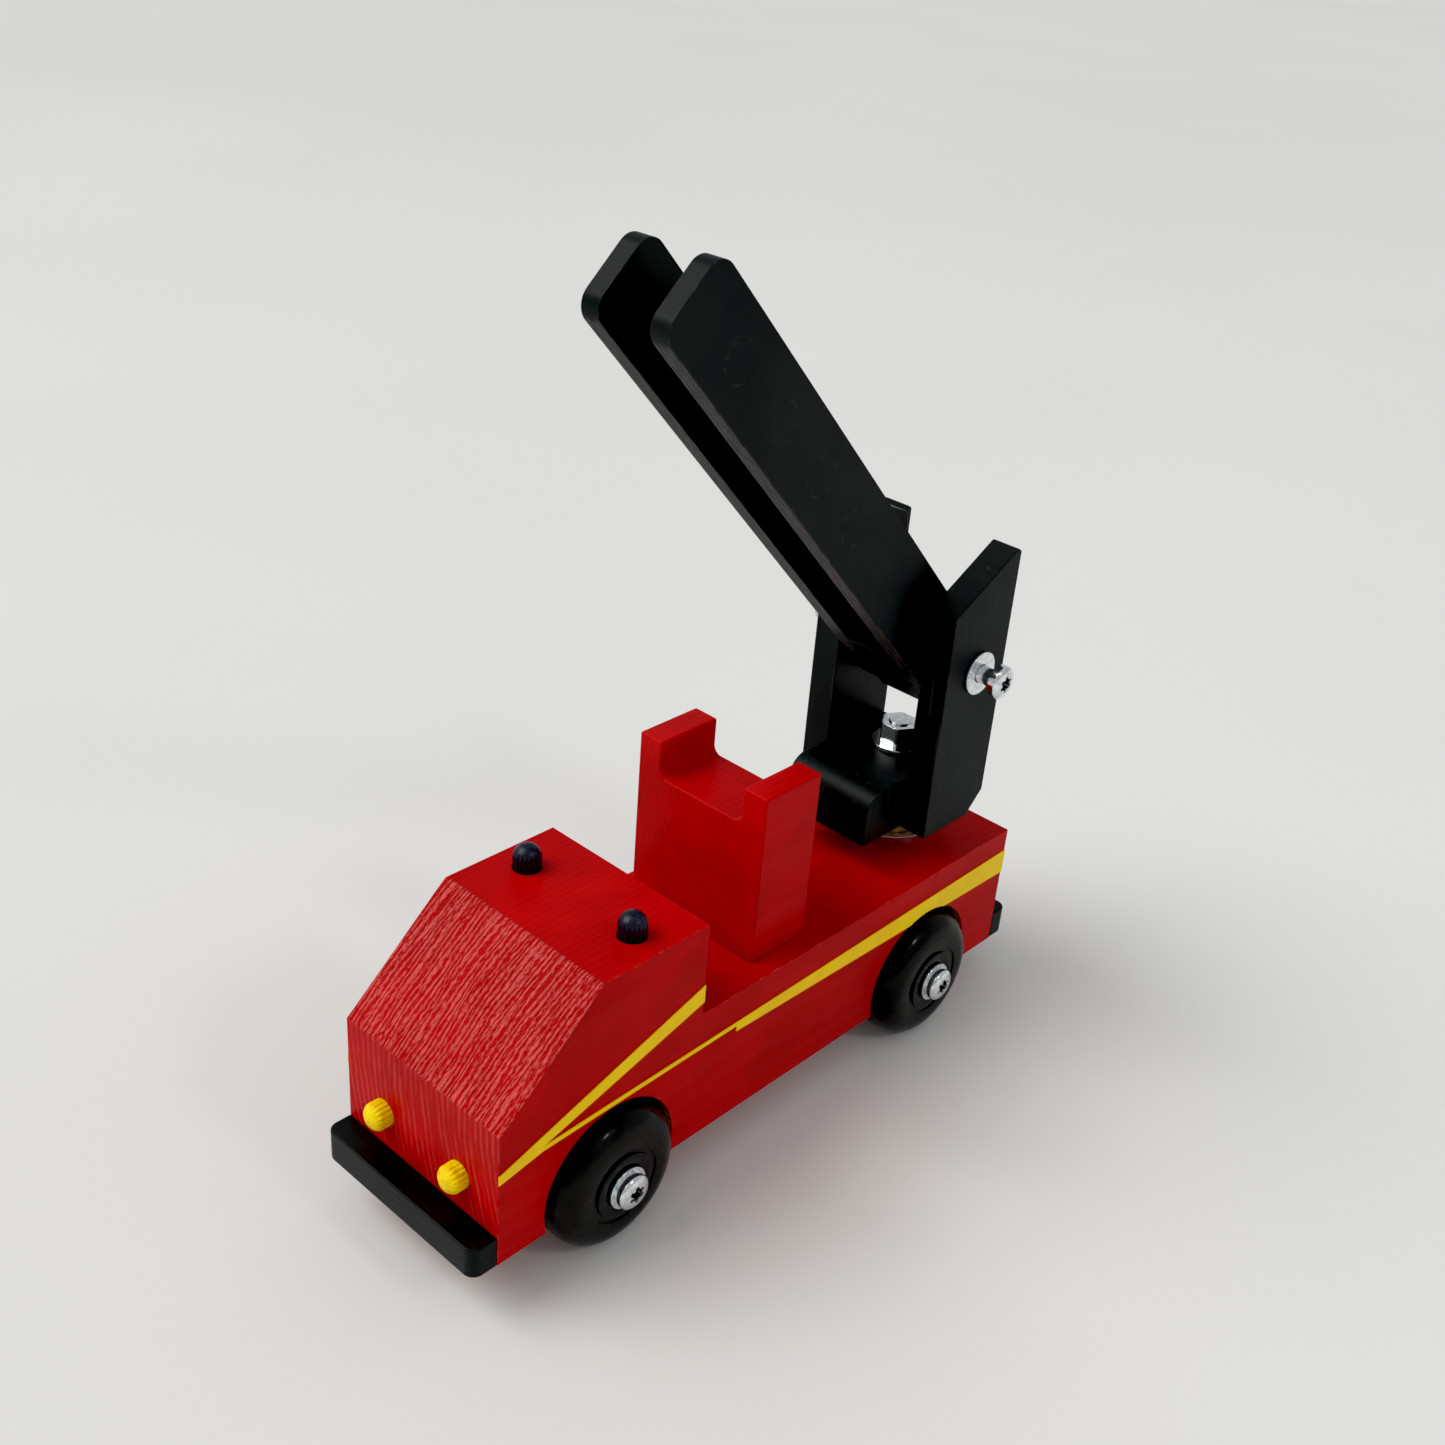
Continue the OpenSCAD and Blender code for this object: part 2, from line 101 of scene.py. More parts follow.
class Finish:
    """One material. Each call adds a node, feeds its inputs and returns its output."""

    def __init__(self, name, color, **shader_values):
        self.material = bpy.data.materials.new(name)
        self.material.use_nodes = True
        self.material.diffuse_color = (*color, 1.0)
        self.tree = self.material.node_tree
        self.shader = self.tree.nodes["Principled BSDF"]
        self.shader.inputs["Base Color"].default_value = (*color, 1.0)
        for socket, value in shader_values.items():
            self.shader.inputs[socket.replace("_", " ")].default_value = value
        self.at = self.add("TexCoord").outputs["Object"]
        split = self.add("SeparateXYZ", {"Vector": self.at})
        self.x, self.y, self.z = split.outputs[:3]

    def feed(self, socket, value):
        if isinstance(value, bpy.types.NodeSocket):
            self.tree.links.new(value, socket)
        else:
            socket.default_value = value

    def add(self, kind, inputs=None, **settings):
        node = self.tree.nodes.new("ShaderNode" + kind)
        for name, value in settings.items():
            setattr(node, name, value)
        for key, value in (inputs or {}).items():
            self.feed(node.inputs[key], value)
        return node

    def math(self, operation, first, second=0.0, third=0.0):
        inputs = {0: first, 1: second, 2: third}
        return self.add("Math", inputs, operation=operation).outputs[0]

    def total(self, *values):
        result = values[0]
        for value in values[1:]:
            result = self.math("ADD", result, value)
        return result

    def times(self, *values):
        result = values[0]
        for value in values[1:]:
            result = self.math("MULTIPLY", result, value)
        return result

    def flip(self, value):
        return self.math("SUBTRACT", 1.0, value)

    def step(self, value, low, high):
        """0 below low, 1 above high, and smooth between; high may be below low."""
        inputs = {"Value": value, "From Min": low, "From Max": high}
        return self.add("MapRange", inputs, interpolation_type="SMOOTHSTEP").outputs[0]

    def offset(self, origin, direction):
        """How far a point lies from origin along direction."""
        inputs = {0: self.at, 1: direction}
        along = self.add("VectorMath", inputs, operation="DOT_PRODUCT").outputs["Value"]
        return self.math("SUBTRACT", along, origin.dot(direction))

    def axle_distance(self, axle):
        """How far a point lies from a line along X."""
        ahead = self.math("SUBTRACT", self.y, axle.y)
        above = self.math("SUBTRACT", self.z, axle.z)
        return self.math("SQRT", self.total(self.times(ahead, ahead), self.times(above, above)))

    def near(self, value, centre, reach, fade):
        """1 where value is within reach of centre, fading to 0."""
        away = self.math("ABSOLUTE", self.math("SUBTRACT", value, centre))
        return self.step(away, reach + fade, reach)

    def scaled(self, *pairs, shift=0.0):
        """A place made of (value, grain size) pairs. shift moves it to another part of a pattern."""
        values = [self.math("DIVIDE", value, size) for value, size in pairs]
        values += [shift] * (3 - len(values))
        return self.add("CombineXYZ", dict(enumerate(values))).outputs[0]

    def stretched(self, x, y, z):
        """The position divided by a grain size in each direction."""
        inputs = {0: self.at, 1: (1 / x, 1 / y, 1 / z)}
        return self.add("VectorMath", inputs, operation="MULTIPLY").outputs[0]

    def grain(self, size, detail=3.0, roughness=0.55):
        """Noise of one grain size in every direction."""
        return self.noise(self.stretched(size, size, size), detail, roughness)

    def noise(self, vector, detail=3.0, roughness=0.55):
        inputs = {"Vector": vector, "Scale": 1.0, "Detail": detail, "Roughness": roughness}
        return self.add("TexNoise", inputs).outputs[0]

    def specks(self, size, share, radius):
        """Sparse round dots: one in each cell that a random number picks."""
        cells = self.add("TexVoronoi", {"Vector": self.stretched(size, size, size), "Scale": 1.0})
        picked = self.math("LESS_THAN", self.add(
            "SeparateColor", {"Color": cells.outputs["Color"]}).outputs[0], share)
        reach = radius / size
        return self.times(picked, self.step(cells.outputs["Distance"], reach, 0.5 * reach))

    def edges(self, radius):
        """1 on the outer edges of the shape and 0 on its faces."""
        soft = self.add("Bevel", {"Radius": radius}, samples=6).outputs[0]
        true = self.add("NewGeometry").outputs["Normal"]
        same = self.add("VectorMath", {0: soft, 1: true}, operation="DOT_PRODUCT").outputs["Value"]
        return self.step(same, 0.995, 0.86)

    def mix(self, factor, first, second):
        node = self.add("Mix", data_type="RGBA")
        self.feed(node.inputs[0], factor)
        self.feed(node.inputs[6], (*first, 1.0) if isinstance(first, tuple) else first)
        self.feed(node.inputs[7], (*second, 1.0) if isinstance(second, tuple) else second)
        return node.outputs[2]

    def blend(self, factor, low, high):
        """A number between low and high."""
        return self.math("MULTIPLY_ADD", factor, high - low, low)

    def relief(self, height):
        """Bump from a height in metres."""
        inputs = {"Height": height, "Strength": 1.0, "Distance": 1.0}
        return self.add("Bump", inputs).outputs[0]

    def finish(self, color=None, roughness=None, height=None):
        if color is not None:
            self.feed(self.shader.inputs["Base Color"], color)
        if roughness is not None:
            self.feed(self.shader.inputs["Roughness"], roughness)
        if height is not None:
            self.feed(self.shader.inputs["Normal"], self.relief(height))
        return self.material


# ---- finishes ----

RED = (0.52, 0.0025, 0.0040)
RED_DEEP = (0.42, 0.0018, 0.0028)
RED_PALE = (0.78, 0.13, 0.12)
WOOD_LIGHT = (0.40, 0.24, 0.11)
WOOD_DARK = (0.20, 0.10, 0.04)


def red_paint():
    """Satin red paint on planed timber. The sawn windscreen shows raised grain, and its crests are
    painted paler: partly paler paint on the raised fibres, partly a painted highlight.
    """
    g = Finish("red_paint", RED, Specular_IOR_Level=0.09)
    wobble = g.noise(g.stretched(22 * MM, 60 * MM, 22 * MM), detail=2.0)
    side = g.math("SUBTRACT", g.x, RING_X)
    up = g.math("SUBTRACT", g.z, RING_Z)
    radius = g.math("SQRT", g.total(g.times(side, side), g.times(up, up)))
    radius = g.math("MULTIPLY_ADD", wobble, 3 * MM, radius)
    phase = g.math("FRACT", g.math("DIVIDE", radius, RING_PITCH))
    late_wood = g.times(g.step(phase, 0.25, 0.85), g.step(phase, 1.0, 0.9))

    screen = g.near(g.offset(NOSE_TOP, SCREEN_NORMAL), 0.0, 0.2 * MM, 0.2 * MM)
    screen = g.times(screen, g.step(g.z, NOSE_TOP.z - 0.2 * MM, NOSE_TOP.z + 0.3 * MM))
    nose = g.step(g.y, BODY_LOW.y + 0.4 * MM, BODY_LOW.y + 0.1 * MM)

    # Ridges follow the rings down the windscreen, broken up by much finer fibres
    drift = g.noise(g.scaled((radius, 3 * MM), (g.z, 14 * MM), shift=2.0), detail=2.0)
    sweep = g.math("MULTIPLY_ADD", drift, 3.0, g.math("DIVIDE", radius, RIDGE_PITCH))
    crests = g.math("PINGPONG", g.math("MULTIPLY", sweep, 2.0), 1.0)
    breaks = g.noise(g.scaled((radius, 0.55 * MM), (g.z, 5 * MM)), detail=2.0, roughness=0.5)
    fibres = g.noise(g.scaled((radius, 0.28 * MM), (g.z, 0.9 * MM), shift=5.0), detail=2.0,
                     roughness=0.6)
    raised = g.total(g.times(crests, 0.17), g.times(breaks, 0.29), g.times(fibres, 0.54))
    crest_paint_and_highlight = g.step(raised, 0.465, 0.565)

    # Brush marks and the faint lengthwise grain of the planed faces
    brushed = g.noise(g.stretched(0.9 * MM, 26 * MM, 0.9 * MM), detail=4.0)
    clouds = g.noise(g.stretched(14 * MM, 18 * MM, 14 * MM), detail=2.0)
    fine = g.grain(0.35 * MM, detail=1.0)

    patchy = g.step(g.noise(g.scaled((radius, 2.5 * MM), (g.z, 11 * MM))), 0.36, 0.62)
    worn = g.times(g.edges(0.55 * MM), g.step(g.grain(1.6 * MM), 0.46, 0.66))
    chips = g.specks(9 * MM, 0.22, 0.26 * MM)

    color = g.mix(g.step(clouds, 0.30, 0.72), RED_DEEP, RED)
    color = g.mix(g.times(nose, g.step(late_wood, 0.2, 0.9), patchy, 0.24), color, RED_PALE)
    color = g.mix(g.times(g.flip(nose), late_wood, 0.02), color, RED_PALE)
    # The windscreen's crests are painted pale: partly paler paint on the raised fibres, partly a
    # painted highlight where light would catch the ridges
    color = g.mix(g.times(screen, crest_paint_and_highlight, 0.74), color, RED_PALE)
    color = g.mix(g.times(worn, 0.45), color, RED_PALE)
    color = g.mix(g.times(chips, 0.7), color, (0.85, 0.42, 0.36))

    # The wheel arches were bored after painting, so they are bare
    arches = 0.0
    for axle in AXLES:
        bore = g.step(g.axle_distance(axle), ARCH_RADIUS + ARCH_FADE, ARCH_RADIUS)
        arches = g.math("MAXIMUM", arches, bore)
    arches = g.times(arches, g.step(g.math("ABSOLUTE", g.x), ARCH_REACH + ARCH_FADE, ARCH_REACH))
    rings = g.noise(g.stretched(0.8 * MM, 9 * MM, 0.8 * MM), detail=3.0)
    bare = g.mix(g.step(rings, 0.35, 0.65), WOOD_LIGHT, WOOD_DARK)
    color = g.mix(arches, color, bare)

    rough = g.total(g.blend(brushed, 0.36, 0.50), g.times(screen, 0.06), g.times(arches, 0.3))
    height = g.total(g.times(screen, g.step(raised, 0.36, 0.66), 0.26 * MM),
                     g.times(brushed, 0.035 * MM), g.times(fine, 0.012 * MM),
                     g.times(nose, late_wood, 0.05 * MM))
    return g.finish(color, rough, height)


def black_paint(name, roughness, grain):
    """Satin black paint on wood. grain is the size of its marks along X, Y and Z, in mm."""
    g = Finish(name, (0.006, 0.009, 0.009), Specular_IOR_Level=0.12)
    marks = g.noise(g.stretched(*(size * MM for size in grain)), detail=4.0)
    clouds = g.grain(16 * MM, detail=2.0)
    fine = g.grain(0.4 * MM, detail=2.0)
    worn = g.times(g.edges(0.5 * MM), g.step(g.grain(2 * MM), 0.42, 0.68))
    dust = g.specks(7 * MM, 0.30, 0.16 * MM)
    color = g.mix(g.step(clouds, 0.35, 0.7), (0.004, 0.006, 0.006), (0.008, 0.011, 0.0105))
    color = g.mix(g.times(g.step(marks, 0.60, 0.70), 0.35), color, (0.040, 0.042, 0.038))
    color = g.mix(g.times(worn, 0.55), color, (0.075, 0.080, 0.075))
    color = g.mix(g.times(dust, 0.5), color, (0.25, 0.25, 0.23))
    rough = g.blend(marks, roughness - 0.06, roughness + 0.10)
    height = g.total(g.times(marks, 0.04 * MM), g.times(fine, 0.015 * MM))
    return g.finish(color, rough, height)


def boom_paint(name="boom_paint", sawn_share=1.0):
    """Black paint on the boom. The sawn long edges of the rails are rougher and greyer."""
    g = Finish(name, (0.005, 0.008, 0.008), Specular_IOR_Level=0.12)
    along = g.offset(PIVOT, ALONG)
    across = g.offset(PIVOT, ACROSS)
    marks = g.noise(g.scaled((g.x, 0.7 * MM), (along, 16 * MM), (across, 0.7 * MM)), detail=4.0)
    saw = g.noise(g.scaled((g.x, 0.9 * MM), (along, 5 * MM), (across, 0.6 * MM)), roughness=0.65)
    clouds = g.grain(18 * MM, detail=2.0)
    fine = g.grain(0.4 * MM, detail=2.0)
    sawn = g.step(g.math("ABSOLUTE", across), RAIL_HALF - 0.35 * MM, RAIL_HALF - 0.1 * MM)
    sawn = g.times(sawn, sawn_share)
    worn = g.times(g.edges(0.45 * MM), g.step(g.grain(2 * MM), 0.42, 0.68))
    dust = g.specks(8 * MM, 0.25, 0.16 * MM)
    color = g.mix(g.step(clouds, 0.35, 0.7), (0.003, 0.005, 0.0055), (0.006, 0.009, 0.009))
    color = g.mix(g.times(sawn, g.step(saw, 0.35, 0.7), 0.8), color, (0.046, 0.043, 0.040))
    color = g.mix(g.times(worn, 0.5), color, (0.08, 0.08, 0.075))
    color = g.mix(g.times(dust, 0.5), color, (0.25, 0.25, 0.23))
    rough = g.total(g.blend(marks, 0.33, 0.46), g.times(sawn, 0.08))
    height = g.total(g.times(marks, 0.035 * MM), g.times(fine, 0.012 * MM),
                     g.times(sawn, saw, 0.16 * MM))
    return g.finish(color, rough, height)


def wheel_gloss(name, axle):
    """Gloss black paint on turned wood, with faint tool rings round the axle."""
    g = Finish(name, (0.003, 0.003, 0.003), Specular_IOR_Level=0.10, Coat_Weight=0.16,
               Coat_Roughness=0.06)
    rings = g.noise(g.scaled((g.axle_distance(axle), 0.45 * MM), (g.x, 0.45 * MM)), detail=2.0)
    sags = g.grain(3.2 * MM, detail=2.0)
    smears = g.grain(6 * MM, detail=3.0)
    dust = g.specks(5 * MM, 0.3, 0.12 * MM)
    color = g.mix(g.times(dust, 0.5), g.mix(g.step(smears, 0.4, 0.75), (0.003, 0.003, 0.003),
                                            (0.008, 0.008, 0.0075)), (0.2, 0.2, 0.19))
    rough = g.blend(g.step(smears, 0.3, 0.7), 0.20, 0.38)
    height = g.total(g.times(rings, 0.012 * MM), g.times(sags, 0.11 * MM))
    return g.finish(color, rough, height)


def yellow_peg():
    """Thick yellow paint on a grooved peg, thin where it runs over the rim."""
    g = Finish("yellow_paint", (0.95, 0.66, 0.003), Specular_IOR_Level=0.2)
    lumps = g.grain(0.9 * MM, detail=3.0)
    patches = g.grain(1.8 * MM, detail=3.0, roughness=0.65)
    color = g.mix(g.step(patches, 0.42, 0.72), (0.98, 0.72, 0.003), (0.84, 0.54, 0.004))
    color = g.mix(g.times(g.step(lumps, 0.62, 0.78), 0.5), color, (0.35, 0.20, 0.02))
    return g.finish(color, g.blend(lumps, 0.34, 0.55), g.times(lumps, 0.16 * MM))


def navy_peg():
    """Dark navy paint on a grooved peg."""
    g = Finish("navy_paint", (0.004, 0.005, 0.020), Specular_IOR_Level=0.35)
    lumps = g.grain(0.8 * MM, detail=3.0)
    dust = g.specks(1.6 * MM, 0.4, 0.07 * MM)
    color = g.mix(g.step(lumps, 0.4, 0.7), (0.002, 0.0025, 0.012), (0.005, 0.006, 0.030))
    color = g.mix(g.times(dust, 0.6), color, (0.30, 0.32, 0.42))
    return g.finish(color, g.blend(lumps, 0.26, 0.44), g.times(lumps, 0.12 * MM))


def yellow_tape():
    """Thin adhesive strip with slightly lifted edges."""
    g = Finish("yellow_tape", (0.98, 0.64, 0.003), Specular_IOR_Level=0.2)
    ripple = g.noise(g.stretched(1.0 * MM, 7 * MM, 1.0 * MM), detail=3.0)
    tint = g.grain(9 * MM, detail=2.0)
    color = g.mix(g.step(tint, 0.3, 0.7), (1.0, 0.68, 0.003), (0.96, 0.60, 0.003))
    return g.finish(color, g.blend(ripple, 0.34, 0.48), g.times(ripple, 0.03 * MM))


SOCKET_RADIUS = 1.98 * MM


def zinc_steel(name="zinc_steel", axes=(), head_top=0.0):
    """Bright zinc plating with a cool, slightly uneven tint. A screw's six-lobe socket, which
    lies within its radius of one of the axes and under the head's top, is painted dull and near-black
    as painted shade in its recess."""
    g = Finish(name, (0.72, 0.75, 0.76), Metallic=1.0)
    tint = g.grain(1.2 * MM, detail=3.0)
    pits = g.grain(0.22 * MM, detail=2.0)
    color = g.mix(g.step(tint, 0.35, 0.7), (0.86, 0.88, 0.88), (0.58, 0.64, 0.68))
    socket = 0.0
    for axis in axes:
        socket_shade = g.step(g.axle_distance(axis), SOCKET_RADIUS, 0.9 * SOCKET_RADIUS)
        socket = g.math("MAXIMUM", socket, socket_shade)
    if axes:
        sunk = g.step(g.math("ABSOLUTE", g.x), head_top - 0.25 * MM, head_top - 0.6 * MM)
        # Painted shade: the socket's recess is painted near-black in place of the shade that falls
        # inside it
        color = g.mix(g.times(socket, sunk), color, (0.012, 0.030, 0.034))
    return g.finish(color, g.blend(tint, 0.08, 0.22), g.times(pits, 0.008 * MM))


def bare_wood():
    """Sanded bare wood with fine grain across the disc."""
    g = Finish("bare_wood", WOOD_LIGHT, Specular_IOR_Level=0.2)
    rings = g.noise(g.stretched(0.8 * MM, 12 * MM, 1.4 * MM), detail=4.0)
    color = g.mix(g.step(rings, 0.35, 0.68), WOOD_LIGHT, WOOD_DARK)
    return g.finish(color, g.blend(rings, 0.6, 0.8), g.times(rings, 0.08 * MM))


# ---- meshes ----

WELD = 0.002 * MM
FLAT_ANGLE = math.radians(0.6)
SHARP_ANGLE = math.radians(32)


def adopt(mesh_source, name, node, material):
    """Makes an object from a bmesh that stands for a CAD node and rides on its body."""
    mesh = bpy.data.meshes.new(name)
    mesh_source.to_mesh(mesh)
    mesh_source.free()
    for face in mesh.polygons:
        face.use_smooth = True
    piece = bpy.data.objects.new(name, mesh)
    bpy.context.scene.collection.objects.link(piece)
    mesh.materials.append(material)
    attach(piece, NODES[node]["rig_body"])
    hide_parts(node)
    return piece


def weighted(piece):
    """Keeps broad faces flat in shading while the soft edges between them shade round."""
    modifier = piece.modifiers.new("flat_faces", "WEIGHTED_NORMAL")
    modifier.keep_sharp = True
    modifier.weight = 90
    return piece


def softened(node, material, width, segments=3):
    """The CAD node's shape with each sharp edge rounded over, as sanding and paint leave it."""
    bm = bmesh.new()
    bm.from_mesh(NODES[node].data)
    bmesh.ops.remove_doubles(bm, verts=bm.verts, dist=WELD)
    bmesh.ops.dissolve_limit(bm, angle_limit=FLAT_ANGLE, verts=bm.verts, edges=bm.edges)
    sharp = [e for e in bm.edges if len(e.link_faces) == 2 and e.calc_face_angle() > SHARP_ANGLE]
    bmesh.ops.bevel(bm, geom=sharp, offset=width, offset_type="OFFSET", segments=segments,
                    profile=0.5, affect="EDGES", clamp_overlap=True, loop_slide=True)
    bm.normal_update()
    return weighted(adopt(bm, node + "_shape", node, material))


def lathe(profile, turns, bored=False):
    """A solid from (radius, height) points turned round Z. A zero radius closes an end, and a
    bored profile joins its last ring to its first."""
    bm = bmesh.new()
    loops = []
    for radius, height in profile:
        if radius == 0:
            loops.append([bm.verts.new((0, 0, height))])
            continue
        angles = [2 * math.pi * i / turns for i in range(turns)]
        loops.append([bm.verts.new((radius * math.cos(a), radius * math.sin(a), height))
                      for a in angles])
    if bored:
        loops.append(loops[0])
    for low, high in zip(loops, loops[1:]):
        for i in range(turns):
            ends = [low[i % len(low)], low[(i + 1) % len(low)],
                    high[(i + 1) % len(high)], high[i % len(high)]]
            corners = [v for k, v in enumerate(ends) if v not in ends[:k]]
            bm.faces.new(corners)
    return bm


def arc(centre, radii, start, end, steps):
    """Points along a quarter ellipse or less, in a lathe profile; angles in degrees."""
    points = []
    for i in range(steps + 1):
        angle = math.radians(start + (end - start) * i / steps)
        points.append((centre[0] + radii[0] * math.cos(angle), centre[1] + radii[1] * math.sin(angle)))
    return points


WHEEL_BORE = 2.08 * MM
WHEEL_TURNS = 128


def wheel_profile(radius, width):
    """Flat inner face, round tread, domed shoulder, a shallow ring groove and a hub."""
    edge = 1.5 * MM
    shoulder = 5.2 * MM
    drop = 4.6 * MM
    hub_out = 0.2 * MM
    face = width - hub_out
    groove = face - 0.3 * MM
    groove_out = 8.4 * MM
    groove_in = 7.2 * MM
    fillet = 0.14 * MM
    inner = [(WHEEL_BORE, 0.0), (radius - edge, 0.0)]
    inner += arc((radius - edge, edge), (edge, edge), -90, 0, 8)[1:]
    outer = arc((radius - shoulder, face - drop), (shoulder, drop), 0, 90, 16)
    round_over = (fillet, fillet)
    ring = arc((groove_out + fillet, face - fillet), round_over, 90, 180, 4)
    ring += arc((groove_out - fillet, groove + fillet), round_over, 0, -90, 4)
    ring += arc((groove_in + fillet, groove + fillet), round_over, -90, -180, 4)
    ring += arc((groove_in - fillet, width - fillet), round_over, 0, 90, 4)
    return inner + outer + ring + [(WHEEL_BORE, width)]


def wheel(node, axle):
    low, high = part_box(node)
    side = 1 if low.x > 0 else -1
    inner = low.x if side > 0 else -high.x
    width = high.x - low.x
    bm = lathe(wheel_profile((high.z - low.z) / 2, width), WHEEL_TURNS, bored=True)
    turn = Matrix.Rotation(math.radians(90 * side), 4, "Y")
    place = Matrix.Translation((side * inner, axle.y, axle.z)) @ turn
    bmesh.ops.transform(bm, matrix=place, verts=bm.verts)
    bmesh.ops.recalc_face_normals(bm, faces=bm.faces)
    return adopt(bm, node + "_shape", node, wheel_gloss(node + "_gloss", axle))


# Grooves round a peg, and how high and wide the paint's lumps are on its side and crown
PEG_GROOVES = 18
POINTS_TO_A_GROOVE = 8
GROOVE_DEPTH = 0.28 * MM
LUMP = 0.11 * MM
SIDE_LUMPS = 1 / 900
CROWN_LUMPS = 1 / 1300


def peg(node, outward, crown, material):
    """Grooved wooden peg with a worn, slightly lumpy crown."""
    low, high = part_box(node)
    centre = (low + high) / 2
    radius = (high.x - low.x) / 2
    length = max(high - low)
    stem = length - crown
    stem_rings = 12
    body = [(0, 0)] + [(radius, stem * i / stem_rings) for i in range(stem_rings + 1)]
    body += arc((0, stem), (radius, crown), 0, 90, 14)[1:-1] + [(0, length)]
    bm = lathe(body, PEG_GROOVES * POINTS_TO_A_GROOVE)
    for vert in bm.verts:
        flat = math.hypot(vert.co.x, vert.co.y)
        if flat < WELD:
            continue
        wave = 0.5 + 0.5 * math.cos(PEG_GROOVES * math.atan2(vert.co.y, vert.co.x))
        # The grooves run out on the crown
        fade = min(1.0, max(0.0, (flat / radius - 0.80) / 0.18))
        uneven = (noise.noise(vert.co / SIDE_LUMPS) - 1) * 0.5 * LUMP
        shrink = 1 - (GROOVE_DEPTH * fade * wave ** 3 - uneven) / radius
        vert.co.x *= shrink
        vert.co.y *= shrink
        if vert.co.z > stem:
            vert.co.z -= abs(noise.noise(vert.co / CROWN_LUMPS + Vector((7, 3, 1)))) * LUMP
    turn = Vector((0, 0, 1)).rotation_difference(outward).to_matrix().to_4x4()
    place = Matrix.Translation(centre - outward * length / 2) @ turn
    bmesh.ops.transform(bm, matrix=place, verts=bm.verts)
    bmesh.ops.recalc_face_normals(bm, faces=bm.faces)
    return adopt(bm, node + "_shape", node, material)


# ---- the engine ----

RED_PAINT = red_paint()
BUMPER_BLACK = black_paint("bumper_paint", 0.34, (24, 1.1, 0.8))
TURRET_BLACK = black_paint("turret_paint", 0.42, (1.2, 1.2, 24))
BOOM_BLACK = boom_paint()
BOOM_BLOCK_BLACK = boom_paint("boom_block_paint", 0.0)
STEEL = zinc_steel()
HEADLIGHT_YELLOW = yellow_peg()
BEACON_NAVY = navy_peg()
TAPE = yellow_tape()

softened("body", RED_PAINT, 0.45 * MM)
softened("ladder_rest", RED_PAINT, 0.45 * MM)
for end in ("front", "rear"):
    softened(end + "_bumper", BUMPER_BLACK, 0.35 * MM)
for side in ("left", "right"):
    softened("stripe_" + side, TAPE, 0.07 * MM, 2)
    softened("cheek_" + side, TURRET_BLACK, 0.4 * MM)
    softened("boom_rail_" + side, BOOM_BLACK, 0.3 * MM, 2)
    peg("headlight_" + side, Vector((0, -1, 0)), 2.0 * MM, HEADLIGHT_YELLOW)
    peg("beacon_" + side, Vector((0, 0, 1)), 2.8 * MM, BEACON_NAVY)
softened("turret_block", TURRET_BLACK, 0.4 * MM)
for node in ("heel_block", "boom_spacer"):
    softened(node, BOOM_BLOCK_BLACK, 0.25 * MM, 2)
for number in (1, 2, 3, 4):
    softened(f"rung_{number}", BOOM_BLACK, 0.06 * MM, 2)
softened("turret_disc", bare_wood(), 0.25 * MM)
for node, axes in (("wheel_screws", AXLES), ("pivot_screws", [PIVOT])):
    softened(node, zinc_steel(node + "_zinc", axes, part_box(node)[1].x), 0.12 * MM, 2)
for node in ("wheel_inner_washers", "wheel_outer_washers", "pivot_outer_washers",
             "pivot_inner_washers", "swivel_bolt", "swivel_bed_washer", "swivel_top_washer",
             "swivel_locknut"):
    softened(node, STEEL, 0.12 * MM, 2)
for name, joint in JOINTS.items():
    if name.endswith("wheel_spin"):
        end, side = name.split("_")[:2]
        wheel(f"wheel_{end}_{side}", Vector(joint["pos_m"]))


# ---- stage, lights and camera ----

FLOOR_HALF = 6.0


def floor():
    g = Finish("floor_paper", (0.80, 0.80, 0.78), Specular_IOR_Level=0.15, Roughness=0.7)
    haze = g.grain(400 * MM, detail=2.0)
    color = g.mix(g.step(haze, 0.3, 0.7), (0.80, 0.80, 0.785), (0.775, 0.775, 0.76))
    bm = bmesh.new()
    bmesh.ops.create_grid(bm, x_segments=24, y_segments=24, size=FLOOR_HALF)
    mesh = bpy.data.meshes.new("floor")
    bm.to_mesh(mesh)
    bm.free()
    mesh.materials.append(g.finish(color))
    sheet = bpy.data.objects.new("floor", mesh)
    bpy.context.scene.collection.objects.link(sheet)


# The camera's azimuth turns it about the engine, 0 being straight at the front
AZIMUTH = math.radians(41.14)
ELEVATION = math.radians(28.9)
ROLL = math.radians(4.77)
CAMERA_AT = Vector((0.19865, -0.22907, 0.25653))
LENS_MM = 42.93
LEVEL_RIGHT = Vector((math.cos(AZIMUTH), math.sin(AZIMUTH), 0))
AHEAD = Vector((-math.sin(AZIMUTH), math.cos(AZIMUTH), 0))


def camera():
    forward = AHEAD * math.cos(ELEVATION) - Vector((0, 0, math.sin(ELEVATION)))
    level_up = LEVEL_RIGHT.cross(forward)
    right = LEVEL_RIGHT * math.cos(ROLL) + level_up * math.sin(ROLL)
    up = level_up * math.cos(ROLL) - LEVEL_RIGHT * math.sin(ROLL)
    data = bpy.data.cameras.new("camera")
    data.lens = LENS_MM
    data.clip_start = 0.01
    seat = bpy.data.objects.new("camera", data)
    turn = Matrix((right, up, -forward)).transposed().to_4x4()
    seat.matrix_world = Matrix.Translation(CAMERA_AT) @ turn
    bpy.context.scene.collection.objects.link(seat)
    bpy.context.scene.camera = seat


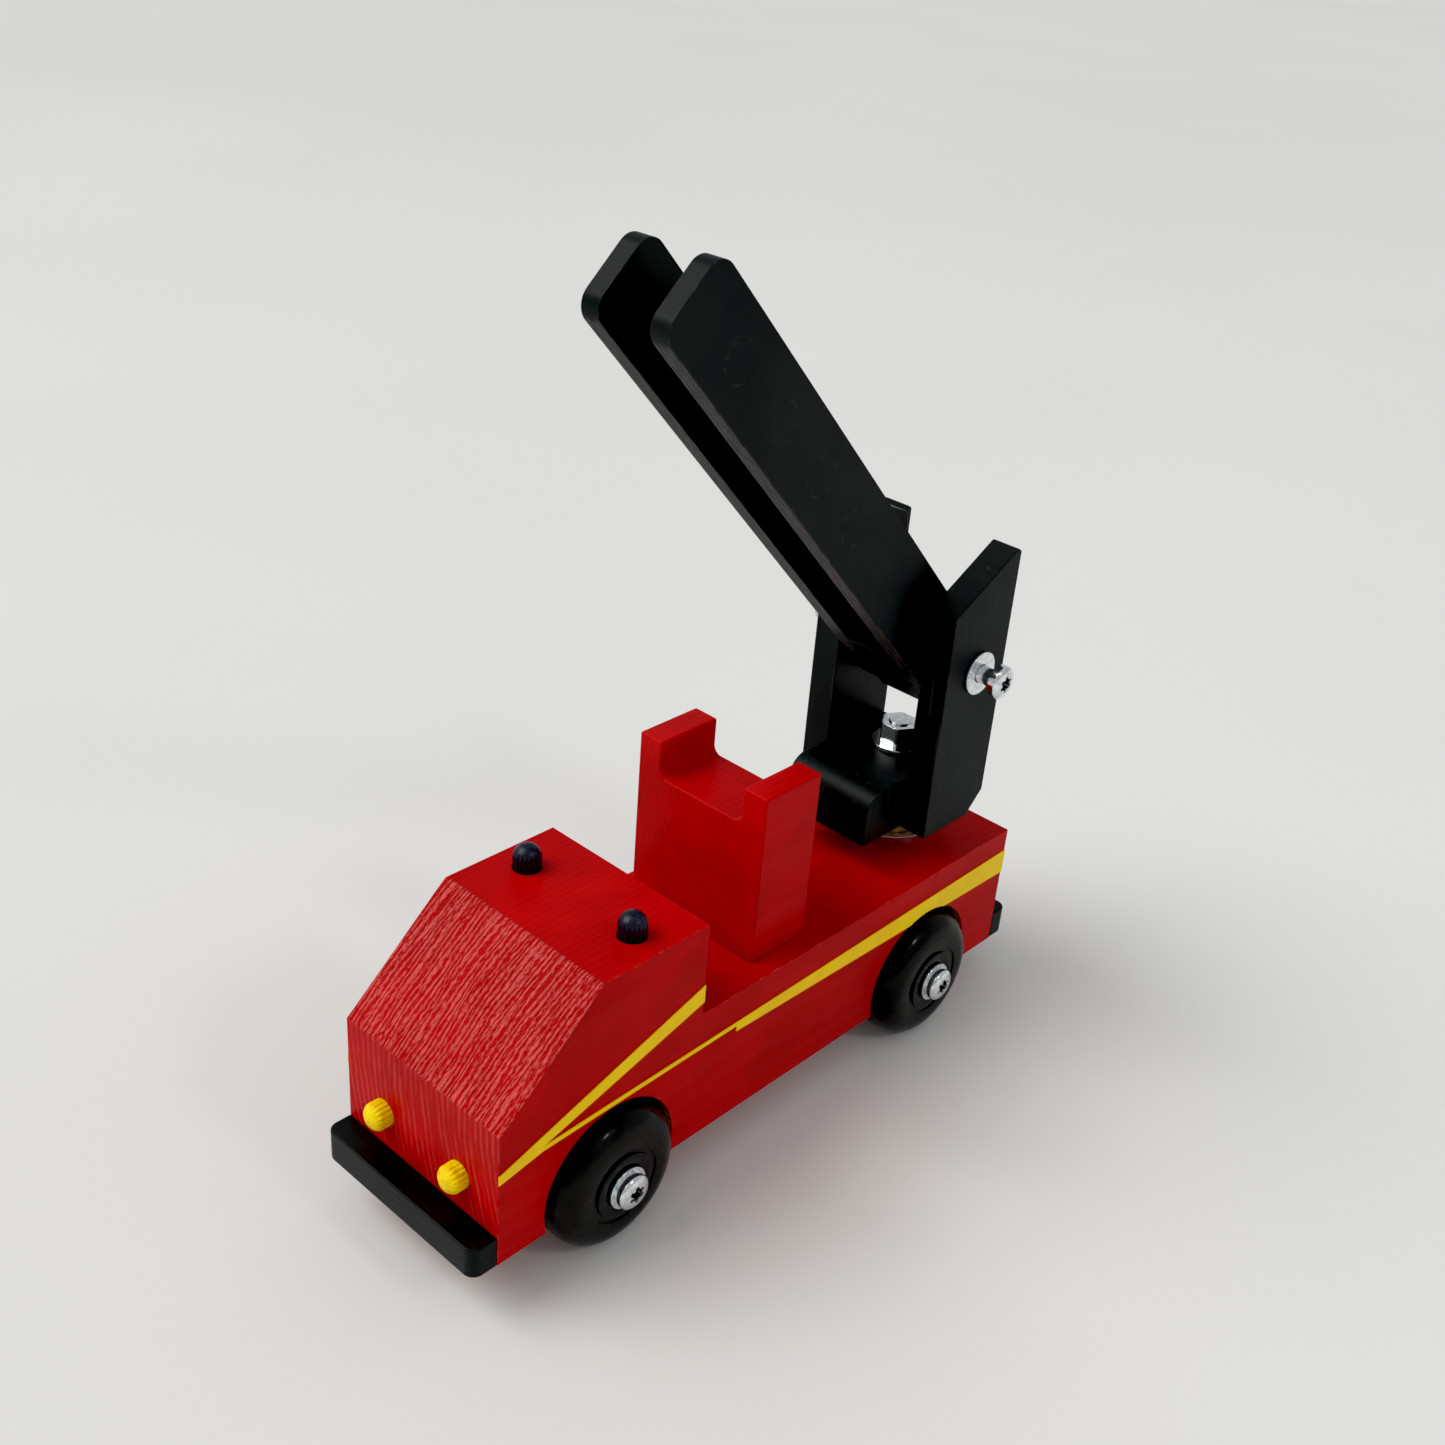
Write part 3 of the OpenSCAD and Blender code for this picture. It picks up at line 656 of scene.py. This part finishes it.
# The lamps point at the middle of the engine. The sun and the far window are on the camera's
# left, and the side window is over the engine's near side.
AIM = Vector((0, 0, 60 * MM))
SUN_AT = -LEVEL_RIGHT * 0.80 - AHEAD * 0.15 + Vector((0, 0, 1.0))
SUN_STRENGTH = 1.62
SUN_SPREAD = math.radians(38)
SIDE_WINDOW_AT = Vector((0.71, 0.08, 0.69)) * 1.1
FAR_WINDOW_AT = -LEVEL_RIGHT * 0.9 + AHEAD * 0.3 + Vector((0, 0, 0.9))
HORIZON_LIGHT = 0.50
ZENITH_LIGHT = 0.48
BLACK_LEVEL = 0.009


def aimed(lamp, place):
    lamp.location = place
    lamp.rotation_euler = (AIM - place).to_track_quat("-Z", "Y").to_euler()
    bpy.context.scene.collection.objects.link(lamp)


def soft_light(name, place, size, power, color):
    data = bpy.data.lights.new(name, "AREA")
    data.size = size
    data.energy = power
    data.color = color
    aimed(bpy.data.objects.new(name, data), place)


def daylight():
    """Even light over the whole floor, with soft shadows from its spread."""
    data = bpy.data.lights.new("daylight", "SUN")
    data.energy = SUN_STRENGTH
    data.angle = SUN_SPREAD
    data.color = (1.0, 0.985, 0.95)
    aimed(bpy.data.objects.new("daylight", data), SUN_AT)


def room():
    """Nearly even light from all round, a little stronger near the horizon."""
    world = bpy.data.worlds.new("room")
    world.use_nodes = True
    nodes = world.node_tree.nodes
    links = world.node_tree.links
    split = nodes.new("ShaderNodeSeparateXYZ")
    links.new(nodes.new("ShaderNodeTexCoord").outputs["Generated"], split.inputs[0])
    height = nodes.new("ShaderNodeMapRange")
    links.new(split.outputs[2], height.inputs["Value"])
    height.inputs["From Min"].default_value = 0.0
    height.inputs["From Max"].default_value = 0.8
    height.inputs["To Min"].default_value = HORIZON_LIGHT
    height.inputs["To Max"].default_value = ZENITH_LIGHT
    links.new(height.outputs[0], nodes["Background"].inputs[1])
    nodes["Background"].inputs[0].default_value = (0.97, 0.985, 1.0, 1.0)
    bpy.context.scene.world = world


def lights():
    room()
    daylight()
    soft_light("side_window", SIDE_WINDOW_AT, 0.13, 0.85, (1.0, 0.99, 0.98))
    soft_light("far_window", FAR_WINDOW_AT, 0.45, 1.2, (0.97, 0.99, 1.0))
    view = bpy.context.scene.view_settings
    view.view_transform = "Standard"
    view.use_curve_mapping = True
    view.curve_mapping.black_level = (BLACK_LEVEL,) * 3


floor()
camera()
lights()
